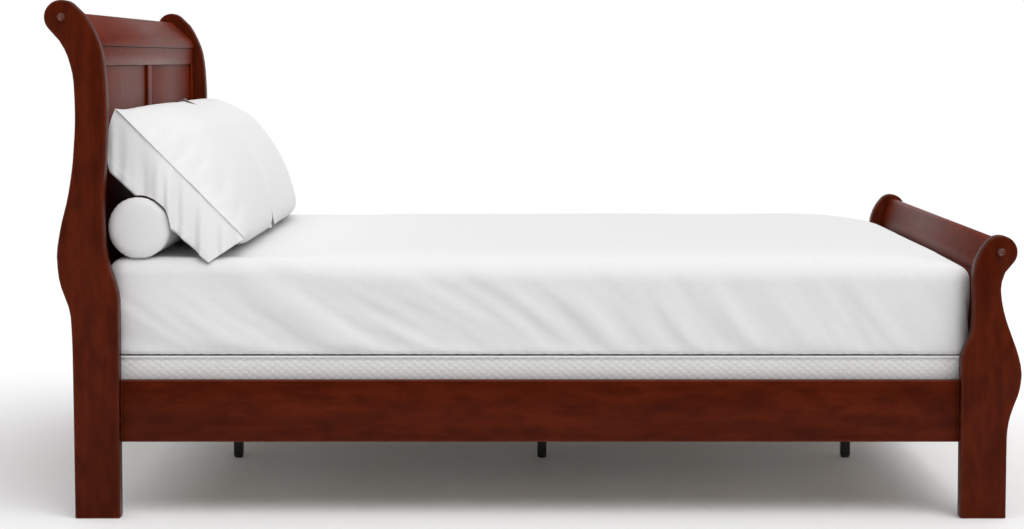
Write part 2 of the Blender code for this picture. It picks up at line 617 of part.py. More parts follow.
def pillow_section(plump):
    """Closed section in (x, z): plump 0 is the flat end at the seam, 1 the full middle."""
    low, high = (PILLOW_FRONT, -0.029), (-0.0555, 0.270)  # ends of the straight seam
    full = [(PILLOW_FRONT, -0.047), (0.2350, 0.015), (0.2145, 0.089), (0.1830, 0.152),
            (0.1140, 0.236), (0.0500, 0.269), (-0.0190, 0.281)]
    points = []
    for i, (dx, dz) in enumerate(full):
        share = i / len(full)
        seam_x = low[0] + (high[0] - low[0]) * share
        seam_z = low[1] + (high[1] - low[1]) * share
        points.append((BOLSTER_X + seam_x + (dx - seam_x) * plump,
                       BOLSTER_Z + seam_z + (dz - seam_z) * plump))
    return pillow_under() + points + [(PILLOW_BACK_X + 0.012, BOLSTER_Z + 0.279),
                                      (PILLOW_BACK_X, BOLSTER_Z + 0.269)]


def add_pillow(side_name, side):
    """Loft the section from the middle of the bed to the pillow's outer end."""
    bm = bmesh.new()
    stations = [(0.0, 0.10), (0.03, 0.42), (0.08, 0.68), (0.16, 0.88), (0.30, 1.0), (0.62, 1.0),
                (0.80, 0.86), (0.90, 0.62), (0.96, 0.36), (1.0, 0.06)]
    rings = []
    for share, plump in stations:
        y = side * (PILLOW_GAP + share * PILLOW_WIDTH)
        rings.append([bm.verts.new((x, y, z)) for x, z in pillow_section(plump)])
    loops = []
    for ring in rings:
        loops.append([bm.edges.new(pair) for pair in zip(ring, ring[1:] + ring[:1])])
    for first, second in zip(loops, loops[1:]):
        bmesh.ops.bridge_loops(bm, edges=first + second)
    for ring in (rings[0], rings[-1]):
        bm.faces.new(ring)
    place(f"pillow_{side_name}", bm, COTTON, smooth=True)


add_bolster()
for side_name, side in SIDES.items():
    add_pillow(side_name, side)
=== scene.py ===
# %% [markdown]
# # A made-up sleigh bed
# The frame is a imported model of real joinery: posts, rails, panels, slats and legs. This lesson
# dresses it. Wood gets its stain and lacquer, the bedding is made from cloth, and a plain studio
# shows the result. Nothing here moves or resizes the frame.

import json
import math

import bmesh
import bpy
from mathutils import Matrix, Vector, noise

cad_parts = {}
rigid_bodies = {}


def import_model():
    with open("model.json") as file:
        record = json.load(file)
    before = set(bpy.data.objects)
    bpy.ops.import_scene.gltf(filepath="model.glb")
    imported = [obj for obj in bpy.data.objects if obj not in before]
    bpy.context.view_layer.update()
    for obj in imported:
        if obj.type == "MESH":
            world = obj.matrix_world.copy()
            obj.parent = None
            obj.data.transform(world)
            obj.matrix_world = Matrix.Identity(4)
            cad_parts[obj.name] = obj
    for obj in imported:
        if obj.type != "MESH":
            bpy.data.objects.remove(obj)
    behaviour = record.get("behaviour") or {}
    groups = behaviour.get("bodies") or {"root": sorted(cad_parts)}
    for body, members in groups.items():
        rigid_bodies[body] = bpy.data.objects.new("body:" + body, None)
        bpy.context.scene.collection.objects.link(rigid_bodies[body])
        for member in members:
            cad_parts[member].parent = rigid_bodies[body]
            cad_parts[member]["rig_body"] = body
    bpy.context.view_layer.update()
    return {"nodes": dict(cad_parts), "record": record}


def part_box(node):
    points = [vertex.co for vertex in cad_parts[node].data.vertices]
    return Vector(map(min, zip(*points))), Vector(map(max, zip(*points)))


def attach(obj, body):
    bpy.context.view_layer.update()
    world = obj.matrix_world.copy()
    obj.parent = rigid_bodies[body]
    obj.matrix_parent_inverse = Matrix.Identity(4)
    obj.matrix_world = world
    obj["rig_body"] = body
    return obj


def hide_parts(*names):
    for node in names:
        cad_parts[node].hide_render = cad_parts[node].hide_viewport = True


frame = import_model()
scene = bpy.context.scene
SIDES = {"left": -1, "right": 1}

# %% [markdown]
# ## Camera
# The bed is seen square from its left side, from about eye height, with a long lens. The camera
# looks a little down, and a small shift does the rest, so that the posts stay nearly upright.

# %% Camera
camera_data = bpy.data.cameras.new("camera")
camera_data.sensor_width = 36
camera_data.lens = 78.36
camera_data.shift_x = -0.0186
camera_data.shift_y = -0.0826
camera = bpy.data.objects.new("camera", camera_data)
camera.location = (-0.009, -5.963, 1.071)
camera.rotation_euler = (math.radians(90 - 3.1), 0, 0)
scene.collection.objects.link(camera)
scene.camera = camera

# %% [markdown]
# ## Studio
# A product studio is a pale floor under a very large soft light. Two wide suns stand in for the
# light: one straight overhead, and one from the front and a little to the right, so that the bed's
# own shadow falls behind it and to its left. The room itself is dim, and only what the camera sees
# past the floor is plain white. The standard view transform keeps white paper-white.

# %% World and view
scene.view_settings.view_transform = "Standard"

world = bpy.data.worlds.new("studio")
world.use_nodes = True
tree = world.node_tree
seen = tree.nodes.new("ShaderNodeLightPath")
level = tree.nodes.new("ShaderNodeMapRange")
tree.links.new(seen.outputs["Is Camera Ray"], level.inputs["Value"])
level.inputs["To Min"].default_value = 0.20
level.inputs["To Max"].default_value = 1.0
backdrop = tree.nodes["Background"]
backdrop.inputs["Color"].default_value = (1, 1, 1, 1)
tree.links.new(level.outputs["Result"], backdrop.inputs["Strength"])
scene.world = world


# %% Floor and lights
def paint(name, colour, roughness):
    """A plain Principled material, for what isn't part of the bed."""
    material = bpy.data.materials.new(name)
    material.use_nodes = True
    shader = material.node_tree.nodes["Principled BSDF"]
    shader.inputs["Base Color"].default_value = (*colour, 1)
    shader.inputs["Roughness"].default_value = roughness
    return material


def to_object(name, bm, materials, smooth_angle=None):
    """A bmesh in its final place, made an object at the origin."""
    mesh = bpy.data.meshes.new(name)
    bm.to_mesh(mesh)
    bm.free()
    for material in materials:
        mesh.materials.append(material)
    if smooth_angle is not None:
        mesh.shade_smooth()
        mesh.set_sharp_from_angle(angle=math.radians(smooth_angle))
    made = bpy.data.objects.new(name, mesh)
    scene.collection.objects.link(made)
    return made


bm = bmesh.new()
bmesh.ops.create_grid(bm, x_segments=1, y_segments=1, size=60)
floor = to_object("floor", bm, [paint("pale_floor", (0.90, 0.90, 0.90), 0.95)])


def wide_sun(name, place, strength, spread):
    """A sun that shines from a place toward the bed, as wide as a big soft box."""
    data = bpy.data.lights.new(name, "SUN")
    data.energy = strength
    data.angle = math.radians(spread)
    light = bpy.data.objects.new(name, data)
    light.location = place
    light.rotation_euler = Vector(place).to_track_quat("Z", "Y").to_euler()
    scene.collection.objects.link(light)


wide_sun("overhead_light", (0.6, 0.1, 4.0), 2.15, 110)
wide_sun("front_light", (1.4, -2.3, 3.6), 1.10, 45)

# a wide strip far behind, which shows only as the sheen on lacquer seen at a glancing angle
data = bpy.data.lights.new("sheen_strip", "AREA")
data.shape = "RECTANGLE"
data.size = 5.0
data.size_y = 2.4
data.energy = 15
strip = bpy.data.objects.new("sheen_strip", data)
strip.location = (0.2, 6.0, 1.2)
strip.rotation_euler = (math.radians(-90), 0, 0)
strip.visible_camera = False
scene.collection.objects.link(strip)

# %% [markdown]
# ## Shader helpers
# A material is a small tree of nodes. Two helpers keep the trees readable: one makes a node with
# its inputs filled or linked, the other starts a node group with named sockets.


# %% Shader helpers
def node(tree, kind, inputs=None, **settings):
    """Add a shader node, set its properties, and fill or link its inputs."""
    made = tree.nodes.new("ShaderNode" + kind)
    for key, value in settings.items():
        setattr(made, key, value)
    for key, value in (inputs or {}).items():
        if isinstance(value, bpy.types.NodeSocket):
            tree.links.new(value, made.inputs[key])
        else:
            made.inputs[key].default_value = value
    return made


def start_group(name, inputs, outputs):
    """A node group whose sockets are (name, type, default) and (name, type)."""
    group = bpy.data.node_groups.new(name, "ShaderNodeTree")
    for label, kind, default in inputs:
        socket = group.interface.new_socket(label, in_out="INPUT", socket_type=kind)
        socket.default_value = default
    for label, kind in outputs:
        group.interface.new_socket(label, in_out="OUTPUT", socket_type=kind)
    entry = group.nodes.new("NodeGroupInput").outputs
    leave = group.nodes.new("NodeGroupOutput").inputs
    return group, entry, leave


def use_group(tree, group, inputs):
    """Place a node group in a material."""
    made = tree.nodes.new("ShaderNodeGroup")
    made.node_tree = group
    for key, value in inputs.items():
        if isinstance(value, bpy.types.NodeSocket):
            tree.links.new(value, made.inputs[key])
        else:
            made.inputs[key].default_value = value
    return made.outputs


def math_node(tree, operation, first, second=0.0):
    """One sum on two values or sockets."""
    return node(tree, "Math", {0: first, 1: second}, operation=operation).outputs[0]


def mix_colour(tree, factor, first, second, blend="MIX"):
    """Mix two colours by a factor."""
    made = node(tree, "Mix", {0: factor, 6: first, 7: second}, data_type="RGBA", blend_type=blend)
    return made.outputs[2]


def ramp(tree, value, low, high, to_low=0.0, to_high=1.0):
    """Map a value between two limits, clamped."""
    sockets = {"Value": value, "From Min": low, "From Max": high,
               "To Min": to_low, "To Max": to_high}
    return node(tree, "MapRange", sockets).outputs[0]


COLOUR, FLOAT, VECTOR = "NodeSocketColor", "NodeSocketFloat", "NodeSocketVector"

# %% [markdown]
# ## Stained cherry
# Furniture like this is usually a plain hardwood with cherry veneer, under a dark red-brown stain
# and a satin lacquer. Close up the stain has taken unevenly: there are soft blotches some fingers
# wide, streaks along the grain, and short dark pores. Along the edges light is painted: a painted
# highlight on the posts and side rails, and painted shade on the other boards and the buttons.
# One group makes the figure for grain along its X axis, and each board turns its coordinates so
# that its own length is that X.

# %% The wood figure group
group, entry, leave = start_group(
    "stained_figure",
    [("Coordinates", VECTOR, (0, 0, 0)), ("Dark", COLOUR, (0, 0, 0, 1)),
     ("Stain", COLOUR, (0, 0, 0, 1)), ("Light", COLOUR, (0, 0, 0, 1)), ("Gloss", FLOAT, 0.3)],
    [("Color", COLOUR), ("Roughness", FLOAT), ("Height", FLOAT)],
)
along = node(group, "Mapping", {"Vector": entry["Coordinates"], "Scale": (0.9, 9, 9)}).outputs[0]
streaks = node(group, "TexNoise", {"Vector": along, "Scale": 3.2, "Detail": 5.0,
                                   "Roughness": 0.6, "Distortion": 0.35}).outputs[0]
wide = node(group, "Mapping", {"Vector": entry["Coordinates"], "Scale": (8, 20, 20)}).outputs[0]
blotches = node(group, "TexNoise", {"Vector": wide, "Scale": 2.0, "Detail": 4.0}).outputs[0]
fine = node(group, "Mapping", {"Vector": entry["Coordinates"], "Scale": (30, 620, 620)}).outputs[0]
pores = node(group, "TexNoise", {"Vector": fine, "Scale": 1.0, "Detail": 2.0}).outputs[0]
lit = ramp(group, streaks, 0.36, 0.68)
body = mix_colour(group, lit, entry["Stain"], entry["Light"])
cloudy = mix_colour(group, ramp(group, blotches, 0.60, 0.30, 0.0, 0.65), body, entry["Dark"])
pore_mask = ramp(group, pores, 0.58, 0.74, 0.0, 0.55)
wood = mix_colour(group, pore_mask, cloudy, entry["Dark"])
group.links.new(wood, leave["Color"])
uneven = math_node(group, "MULTIPLY", math_node(group, "SUBTRACT", streaks, 0.5), 0.16)
group.links.new(math_node(group, "ADD", entry["Gloss"], uneven), leave["Roughness"])
height = math_node(group, "SUBTRACT", streaks, math_node(group, "MULTIPLY", pore_mask, 0.8))
group.links.new(height, leave["Height"])
stained_figure = group
print("group", group.name)

# %% The edge group: painted highlight and painted shade along edges
group, entry, leave = start_group(
    "edge_highlight_and_shade",
    [("Color", COLOUR, (0, 0, 0, 1)), ("Edge", COLOUR, (0, 0, 0, 1)), ("Width", FLOAT, 0.006)],
    [("Color", COLOUR)],
)
# the edge colour is mixed in where the Bevel normal turns away from the face normal: painted light
# along each edge, lighter or darker as the colour given
rounded = node(group, "Bevel", {"Radius": entry["Width"]}, samples=4).outputs[0]
plain = node(group, "NewGeometry").outputs["Normal"]
agree = node(group, "VectorMath", {0: rounded, 1: plain}, operation="DOT_PRODUCT").outputs["Value"]
edge = ramp(group, agree, 0.995, 0.90, 0.0, 0.75)
group.links.new(mix_colour(group, edge, entry["Color"], entry["Edge"]), leave["Color"])
edge_highlight_and_shade = group

# %% Cherry materials, one for each direction of the grain
GRAIN_TURN = {"x": (0, 0, 0), "y": (0, 0, math.pi / 2), "z": (0, math.pi / 2, 0)}


def cherry(name, grain, dark, stain, light, painted_edge_colour, shine=0.06):
    """Stained wood with its grain along one axis; its edges take the edge colour given, a painted
    highlight when it is light and painted shade when it is dark.
    """
    material = bpy.data.materials.new(name + "_grain_" + grain)
    material.use_nodes = True
    tree = material.node_tree
    shader = tree.nodes["Principled BSDF"]
    place = node(tree, "TexCoord").outputs["Object"]
    turned = node(tree, "Mapping", {"Vector": place, "Rotation": GRAIN_TURN[grain]}).outputs[0]
    figure = use_group(tree, stained_figure, {
        "Coordinates": turned, "Dark": dark, "Stain": stain, "Light": light, "Gloss": 0.34,
    })
    edge = use_group(tree, edge_highlight_and_shade, {"Color": figure["Color"], "Edge": painted_edge_colour})
    bump = node(tree, "Bump", {"Height": figure["Height"], "Strength": 0.10, "Distance": 0.002})
    tree.links.new(edge["Color"], shader.inputs["Base Color"])
    tree.links.new(figure["Roughness"], shader.inputs["Roughness"])
    tree.links.new(bump.outputs[0], shader.inputs["Normal"])
    shader.inputs["Specular IOR Level"].default_value = shine
    return material


# the fourth colour of each is painted along its edges: light on the posts and side rails as a
# painted highlight, dark on the other boards and the buttons as painted shade
CHERRY = {grain: cherry("cherry", grain, (0.040, 0.0042, 0.0007, 1), (0.070, 0.0080, 0.0012, 1),
                         (0.108, 0.0138, 0.0028, 1), (0.210, 0.055, 0.030, 1))
          for grain in GRAIN_TURN}
# a lighter, redder copy of the cherry for the boards: painted light, standing in for the light on
# the lit face of the head panel
LIT_CHERRY = {grain: cherry("cherry_lit_copy", grain, (0.088, 0.0080, 0.0012, 1),
                       (0.130, 0.0130, 0.0020, 1), (0.175, 0.0190, 0.0036, 1),
                       (0.03, 0.004, 0.001, 1))
         for grain in "yz"}
BUTTON = cherry("cherry_button", "z", (0.060, 0.0070, 0.0012, 1), (0.110, 0.0150, 0.0040, 1),
                (0.160, 0.0250, 0.0080, 1), (0.010, 0.002, 0.001, 1), 0.6)
print("cherry in", len(CHERRY) + len(LIT_CHERRY) + 1, "materials")

# %% [markdown]
# ## The wooden pieces
# The frame's meshes are loose triangles. To shade a curved post smoothly its corners have to be
# joined first, so each wooden piece is a joined copy that stands for its node. Flat faces are made
# whole again, the sharp corners get the small round that sandpaper leaves, and each piece takes
# the cherry that runs along its length. Every board but the posts and side rails takes a lighter,
# redder copy of the cherry: painted light, standing in for the light on the lit face of the head
# panel.


# %% Joined copies of the wooden nodes
def joined_copy(name, edge_round, angle=40):
    """A bmesh of a node with its corners joined and its sharp edges eased."""
    bm = bmesh.new()
    bm.from_mesh(frame["nodes"][name].data)
    bmesh.ops.remove_doubles(bm, verts=bm.verts, dist=1e-6)
    bmesh.ops.dissolve_limit(bm, angle_limit=math.radians(0.5), verts=bm.verts, edges=bm.edges)
    if edge_round:
        sharp = [e for e in bm.edges if e.calc_face_angle(0) > math.radians(angle)]
        bmesh.ops.bevel(bm, geom=sharp, offset=edge_round, segments=2, profile=0.5,
                        affect="EDGES", material=-1, clamp_overlap=True)
    return bm


def grain_of(name):
    """The axis that a board's length runs along."""
    if name.startswith("side_rail"):
        return "x"
    if "crest" in name or "top_rail" in name or "bottom_rail" in name:
        return "y"
    return "z"


def dress(piece, nodes):
    """Ride on the nodes' body and stand for them."""
    body = frame["nodes"][nodes[0]]["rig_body"]
    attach(piece, body)
    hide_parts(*nodes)
    return piece


SLOT_OF = {row["node"]: row["material_slot"] for row in frame["record"]["subparts"]}
wooden = [name for name, slot in SLOT_OF.items() if slot == "cherry"]
for name in wooden:
    eased = 0.0 if "post" in name or "rosette" in name else 0.0012
    bm = joined_copy(name, eased)
    # the boards other than posts and side rails take the lighter copy of the cherry, which is
    # painted light
    wood = CHERRY if "post" in name or "side_rail" in name else LIT_CHERRY
    shown = BUTTON if "rosette" in name else wood[grain_of(name)]
    piece = to_object(name + "_wood", bm, [shown], 35)
    dress(piece, [name])
print(len(wooden), "cherry pieces")

# %% [markdown]
# ## Pine, plated steel and black paint
# Slats and the ledgers under them are plain planed pine. The hook plates and their catches are
# zinc-plated, and the centre legs are black. These nodes already have the right shape, so they
# only need their finish.


# %% Pine
def pine(grain):
    """Raw planed pine with its grain along one axis."""
    material = bpy.data.materials.new("pine_grain_" + grain)
    material.use_nodes = True
    tree = material.node_tree
    shader = tree.nodes["Principled BSDF"]
    place = node(tree, "TexCoord").outputs["Object"]
    turned = node(tree, "Mapping", {"Vector": place, "Rotation": GRAIN_TURN[grain]}).outputs[0]
    figure = use_group(tree, stained_figure, {
        "Coordinates": turned, "Dark": (0.36, 0.21, 0.10, 1), "Stain": (0.55, 0.38, 0.20, 1),
        "Light": (0.66, 0.49, 0.29, 1), "Gloss": 0.62,
    })
    bump = node(tree, "Bump", {"Height": figure["Height"], "Strength": 0.15, "Distance": 0.002})
    tree.links.new(figure["Color"], shader.inputs["Base Color"])
    tree.links.new(figure["Roughness"], shader.inputs["Roughness"])
    tree.links.new(bump.outputs[0], shader.inputs["Normal"])
    return material


# %% Plated steel and black paint
def speckled(name, dark, light, metallic, roughness, scale):
    """Metal or paint whose colour and gloss vary in small patches."""
    material = bpy.data.materials.new(name)
    material.use_nodes = True
    tree = material.node_tree
    shader = tree.nodes["Principled BSDF"]
    place = node(tree, "TexCoord").outputs["Object"]
    patches = node(tree, "TexNoise", {"Vector": place, "Scale": scale, "Detail": 4.0}).outputs[0]
    colour = mix_colour(tree, ramp(tree, patches, 0.35, 0.65), dark, light)
    gloss = ramp(tree, patches, 0.3, 0.7, roughness - 0.08, roughness + 0.08)
    bump = node(tree, "Bump", {"Height": patches, "Strength": 0.08, "Distance": 0.001})
    tree.links.new(colour, shader.inputs["Base Color"])
    tree.links.new(gloss, shader.inputs["Roughness"])
    tree.links.new(bump.outputs[0], shader.inputs["Normal"])
    shader.inputs["Metallic"].default_value = metallic
    return material


PINE = {"x": pine("x"), "y": pine("y")}
ZINC = speckled("zinc_plate", (0.38, 0.38, 0.36, 1), (0.58, 0.58, 0.55, 1), 1.0, 0.36, 160)
BLACK = speckled("black_paint", (0.008, 0.008, 0.008, 1), (0.016, 0.016, 0.017, 1), 0.0, 0.45, 90)
FINISH = {"pine": PINE["y"], "zinc_steel": ZINC, "black_leg": BLACK}
for name, slot in SLOT_OF.items():
    if slot in FINISH:
        shown = PINE["x"] if name.startswith("ledger") else FINISH[slot]
        mesh = frame["nodes"][name].data
        mesh.materials.clear()
        mesh.materials.append(shown)
        print("finish", name, shown.name)

# %% [markdown]
# ## Cloth
# Cotton sheeting is matt with a little sheen, and its threads are far too fine to see from across
# a room, so the weave is only a faint bump. The group crosses three sets of fine waves, so that it
# works on any face without an unwrapped map.

# %% The weave group
group, entry, leave = start_group(
    "plain_weave",
    [("Coordinates", VECTOR, (0, 0, 0)), ("Threads", FLOAT, 900.0)],
    [("Height", FLOAT), ("Shade", FLOAT)],
)
spread = node(group, "VectorMath", {0: entry["Coordinates"], "Scale": entry["Threads"]},
              operation="SCALE").outputs["Vector"]
axes = node(group, "SeparateXYZ", {0: spread}).outputs
waves = [math_node(group, "SINE", axis) for axis in axes]
weave = math_node(group, "ADD", math_node(group, "ADD", waves[0], waves[1]), waves[2])
slub = node(group, "TexNoise", {"Vector": entry["Coordinates"], "Scale": 90.0, "Detail": 3.0})
group.links.new(math_node(group, "ADD", weave, math_node(group, "MULTIPLY", slub.outputs[0], 2.0)),
                leave["Height"])
group.links.new(slub.outputs[0], leave["Shade"])
plain_weave = group


# %% Cloth materials
def cloth(name, colour, shade, roughness, threads, bump_depth):
    """Matt woven cloth with a slight sheen."""
    material = bpy.data.materials.new(name)
    material.use_nodes = True
    tree = material.node_tree
    shader = tree.nodes["Principled BSDF"]
    place = node(tree, "TexCoord").outputs["Object"]
    weave = use_group(tree, plain_weave, {"Coordinates": place, "Threads": threads})
    tone = mix_colour(tree, ramp(tree, weave["Shade"], 0.35, 0.65), shade, colour)
    bump = node(tree, "Bump", {"Height": weave["Height"], "Strength": 0.25, "Distance": bump_depth})
    tree.links.new(tone, shader.inputs["Base Color"])
    tree.links.new(bump.outputs[0], shader.inputs["Normal"])
    shader.inputs["Roughness"].default_value = roughness
    shader.inputs["Specular IOR Level"].default_value = 0.25
    shader.inputs["Sheen Weight"].default_value = 0.15
    shader.inputs["Sheen Roughness"].default_value = 0.5
    return material


COTTON = cloth("white_cotton", (0.78, 0.78, 0.78, 1), (0.765, 0.765, 0.765, 1), 0.85, 2600, 0.0001)
TICKING = cloth("mattress_ticking", (0.74, 0.73, 0.71, 1), (0.70, 0.69, 0.67, 1), 0.9, 1600, 0.0002)

# %% [markdown]
# The foundation's knit is quilted. Two sets of slanting stitch lines cross to make diamonds, and
# the cloth between them is puffed up. The lines run with x plus y along the side, so that they go
# on round the corners.

# %% The quilted diamonds group
group, entry, leave = start_group(
    "quilted_diamonds",
    [("Coordinates", VECTOR, (0, 0, 0)), ("Width", FLOAT, 0.02), ("Height", FLOAT, 0.02)],
    [("Puff", FLOAT)],
)
axes = node(group, "SeparateXYZ", {0: entry["Coordinates"]}).outputs
run = math_node(group, "DIVIDE", math_node(group, "ADD", axes[0], axes[1]), entry["Width"])
up = math_node(group, "DIVIDE", axes[2], entry["Height"])
both = math_node(group, "ADD", run, up)
rising = math_node(group, "SINE", math_node(group, "MULTIPLY", both, math.pi))
apart = math_node(group, "SUBTRACT", run, up)
falling = math_node(group, "SINE", math_node(group, "MULTIPLY", apart, math.pi))
product = math_node(group, "ABSOLUTE", math_node(group, "MULTIPLY", rising, falling))
group.links.new(math_node(group, "POWER", product, 0.5), leave["Puff"])
quilted_diamonds = group

# %% The knit
KNIT = bpy.data.materials.new("quilted_knit")
KNIT.use_nodes = True
tree = KNIT.node_tree
shader = tree.nodes["Principled BSDF"]
place = node(tree, "TexCoord").outputs["Object"]
diamonds = use_group(tree, quilted_diamonds, {
    "Coordinates": place, "Width": 0.0215, "Height": 0.0164,
})
fine = use_group(tree, plain_weave, {"Coordinates": place, "Threads": 1300.0})
# the knit is darker in the sunken stitch lines and lighter on the puffs: painted shade in the
# recesses, on top of the bump
tone = mix_colour(tree, diamonds["Puff"], (0.72, 0.72, 0.71, 1), (0.80, 0.80, 0.795, 1))
quilting = node(tree, "Bump", {"Height": diamonds["Puff"], "Strength": 0.45, "Distance": 0.0014})
threads = node(tree, "Bump", {"Height": fine["Height"], "Strength": 0.2, "Distance": 0.0002,
                              "Normal": quilting.outputs[0]})
tree.links.new(tone, shader.inputs["Base Color"])
tree.links.new(threads.outputs[0], shader.inputs["Normal"])
shader.inputs["Roughness"].default_value = 0.9
shader.inputs["Specular IOR Level"].default_value = 0.2

# %% [markdown]
# ## Rolled grids
# Most of the bedding is one flat grid, rolled round. A fitted sheet goes round the bed and then in
# over its top, a bolster goes round its axis, and a pillowcase end is a flat tube. One helper
# makes a grid, asks a placing function where each of its points goes, and closes the seam.


# %% Rolling a grid
def rolled(name, across, up, place, materials, smooth_angle=60):
    """A grid whose point (u, v), each from 0 to 1, goes to place(u, v); touching points join."""
    bm = bmesh.new()
    bmesh.ops.create_grid(bm, x_segments=across, y_segments=up, size=0.5)
    for v in bm.verts:
        v.co = place(v.co.x + 0.5, v.co.y + 0.5)
    bmesh.ops.remove_doubles(bm, verts=bm.verts, dist=1e-6)
    bmesh.ops.dissolve_degenerate(bm, edges=bm.edges, dist=1e-6)
    bmesh.ops.recalc_face_normals(bm, faces=bm.faces)
    return to_object(name, bm, materials, smooth_angle)


def around(share, length, width, corner, inset=0.0):
    """Point and outward direction part of the way round a round-cornered rectangle.

    The rectangle is centred on the origin, begins at the left end of its near side, and may be
    drawn in by an inset, which leaves its corners on the same lines.
    """
    bend = corner * math.pi / 2
    runs = [length - 2 * corner, bend, width - 2 * corner, bend] * 2
    left = share % 1.0 * sum(runs)
    piece = 0
    while piece < 7 and left > runs[piece]:
        left -= runs[piece]
        piece += 1
    t = min(left / runs[piece], 1.0)
    small = min(max(corner - inset, 0.015), width / 2 - inset)
    half = (length / 2 - inset - small, width / 2 - inset - small)
    centres = [Vector((sx * half[0], sy * half[1], 0))
               for sx, sy in ((-1, -1), (1, -1), (1, 1), (-1, 1))]
    side = piece // 2
    turn = (side - 1) * math.pi / 2
    if piece % 2:
        centre = centres[(side + 1) % 4]
        turn += t * math.pi / 2
    else:
        centre = centres[side].lerp(centres[(side + 1) % 4], t)
    out = Vector((math.cos(turn), math.sin(turn), 0))
    return centre + out * small, out


def soft_step(value, low, high):
    """A smooth rise from 0 at low to 1 at high."""
    t = min(max((value - low) / (high - low), 0.0), 1.0)
    return t * t * (3 - 2 * t)


def noise_at(*place):
    """Smooth noise at a point, roughly from -1 to 1."""
    return noise.noise(Vector(place))


def quarter(centre_height, inset, radius, start, stop, steps):
    """(height, inset) steps round an edge; 0 degrees points out and 90 up."""
    made = []
    for i in range(steps + 1):
        a = math.radians(start + (stop - start) * i / steps)
        made.append((centre_height + radius * math.sin(a), inset - radius * math.cos(a)))
    return made


# %% [markdown]
# ## The foundation
# The low box under the mattress is covered in a knit that was quilted in small diamonds, with a
# white welt sewn round its upper and lower edges. Its side bulges a little between the welts. The
# diamonds are only about a finger wide and a millimetre deep, so they are in the knit's material.

# %% The foundation
low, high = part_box("foundation")
FOUNDATION_SIZE = (high.x - low.x, high.y - low.y)
FOUNDATION_MIDDLE = Vector(((low.x + high.x) / 2, 0, 0))


def bead(height, radius=0.0026, out=0.0010):
    """Steps of a round welt that stands out from the side."""
    return quarter(height, radius - out, radius, -75, 75, 6)


steps = [(low.z, inset) for inset in (0.755, 0.3, 0.02)]
steps += quarter(low.z + 0.004, 0.006, 0.004, -90, -30, 2) + bead(low.z + 0.0085)
first, last = low.z + 0.0125, high.z - 0.0072
steps += [(first + (last - first) * i / 16, 0.0022) for i in range(17)]
steps += bead(high.z - 0.0034)
steps += [(high.z - 0.0010, inset) for inset in (0.006, 0.02, 0.06, 0.2, 0.5, 0.755)]


def on_foundation(u, v):
    """A point of the foundation: u goes round it, v over its rows."""
    height, inset = steps[round(v * (len(steps) - 1))]
    point, out = around(u, *FOUNDATION_SIZE, 0.040, inset)
    t = min(max((height - first) / (last - first), 0.0), 1.0)
    bulge = 0.0018 * math.sin(math.pi * t) ** 0.5 if inset < 0.003 else 0.0
    uneven = 0.0008 * noise_at(point.x * 9, point.y * 9, height * 20)
    return FOUNDATION_MIDDLE + point + out * (bulge + uneven) + Vector((0, 0, height))


foundation = rolled("foundation_cover", 480, len(steps) - 1, on_foundation, [KNIT])
dress(foundation, ["foundation"])
print("foundation", len(foundation.data.polygons), "faces")

# %% [markdown]
# ## The mattress
# It is nearly all hidden by its sheet, and shows only when it is lifted. It is a slab with soft
# corners, covered in plain ticking.

# %% The mattress
low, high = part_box("mattress")
MATTRESS_SIZE = (high.x - low.x, high.y - low.y)
MATTRESS_MIDDLE = Vector(((low.x + high.x) / 2, 0, 0))
mattress_steps = [(low.z + 0.003, inset) for inset in (0.745, 0.4, 0.1, 0.03)]
mattress_steps += quarter(low.z + 0.015, 0.012, 0.012, -90, 0, 4)
mattress_steps += [(low.z + 0.1, 0.0)] + quarter(high.z - 0.094, 0.070, 0.070, 0, 90, 6)
mattress_steps += [(high.z - 0.018, 0.13), (high.z - 0.018, 0.3), (high.z - 0.018, 0.745)]


def on_mattress(u, v):
    """A point of the mattress: u goes round it, v over its rows."""
    height, inset = mattress_steps[round(v * (len(mattress_steps) - 1))]
    point, _ = around(u, *MATTRESS_SIZE, 0.055, inset + 0.008)
    return MATTRESS_MIDDLE + point + Vector((0, 0, height))


mattress = rolled("mattress_core", 240, len(mattress_steps) - 1, on_mattress, [TICKING])
dress(mattress, ["mattress"])
print("mattress", len(mattress.data.polygons), "faces")

# %% [markdown]
# ## The fitted sheet
# A fitted sheet is pulled down over the mattress, and elastic gathers its hem underneath. It is
# tight at the corners, crowned a little in the middle of the bed, and drawn into soft slanting
# wrinkles along the side, most of all beside the pillows. The rows of the grid run up the side,
# round the top edge and in to the middle.

# %% The fitted sheet
low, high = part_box("fitted_sheet")
SHEET_SIZE = (high.x - low.x, high.y - low.y)
SHEET_MIDDLE = Vector(((low.x + high.x) / 2, 0, 0))
SHEET_TOP = high.z
sheet_steps = [(low.z - 0.0015, inset) for inset in (0.062, 0.050, 0.038, 0.026)]
sheet_steps += quarter(low.z + 0.0105, 0.012, 0.012, -90, 0, 5)
SIDE_TOP = SHEET_TOP - 0.055
side_rows = [low.z + 0.0105 + (SIDE_TOP - low.z - 0.0105) * i / 18 for i in range(1, 18)]
sheet_steps += [(height, 0.0) for height in side_rows]
sheet_steps += [(math.radians(i * 90 / 14), "edge") for i in range(15)]
sheet_steps += [((i / 32) ** 1.1, "top") for i in range(1, 33)]


def sheet_step(row, x):
    """Height and inset of a row, with an edge that is softer away from the pillows."""
    first, second = sheet_steps[row]
    soft = soft_step(x, -0.66, -0.40)
    drop, run = 0.040 + 0.015 * soft, 0.042 + 0.048 * soft
    if second == "edge":
        return SHEET_TOP - drop * (1 - math.sin(first)), run * (1 - math.cos(first))
    if second == "top":
        return SHEET_TOP, run + (0.7625 - run) * first
    return first, second


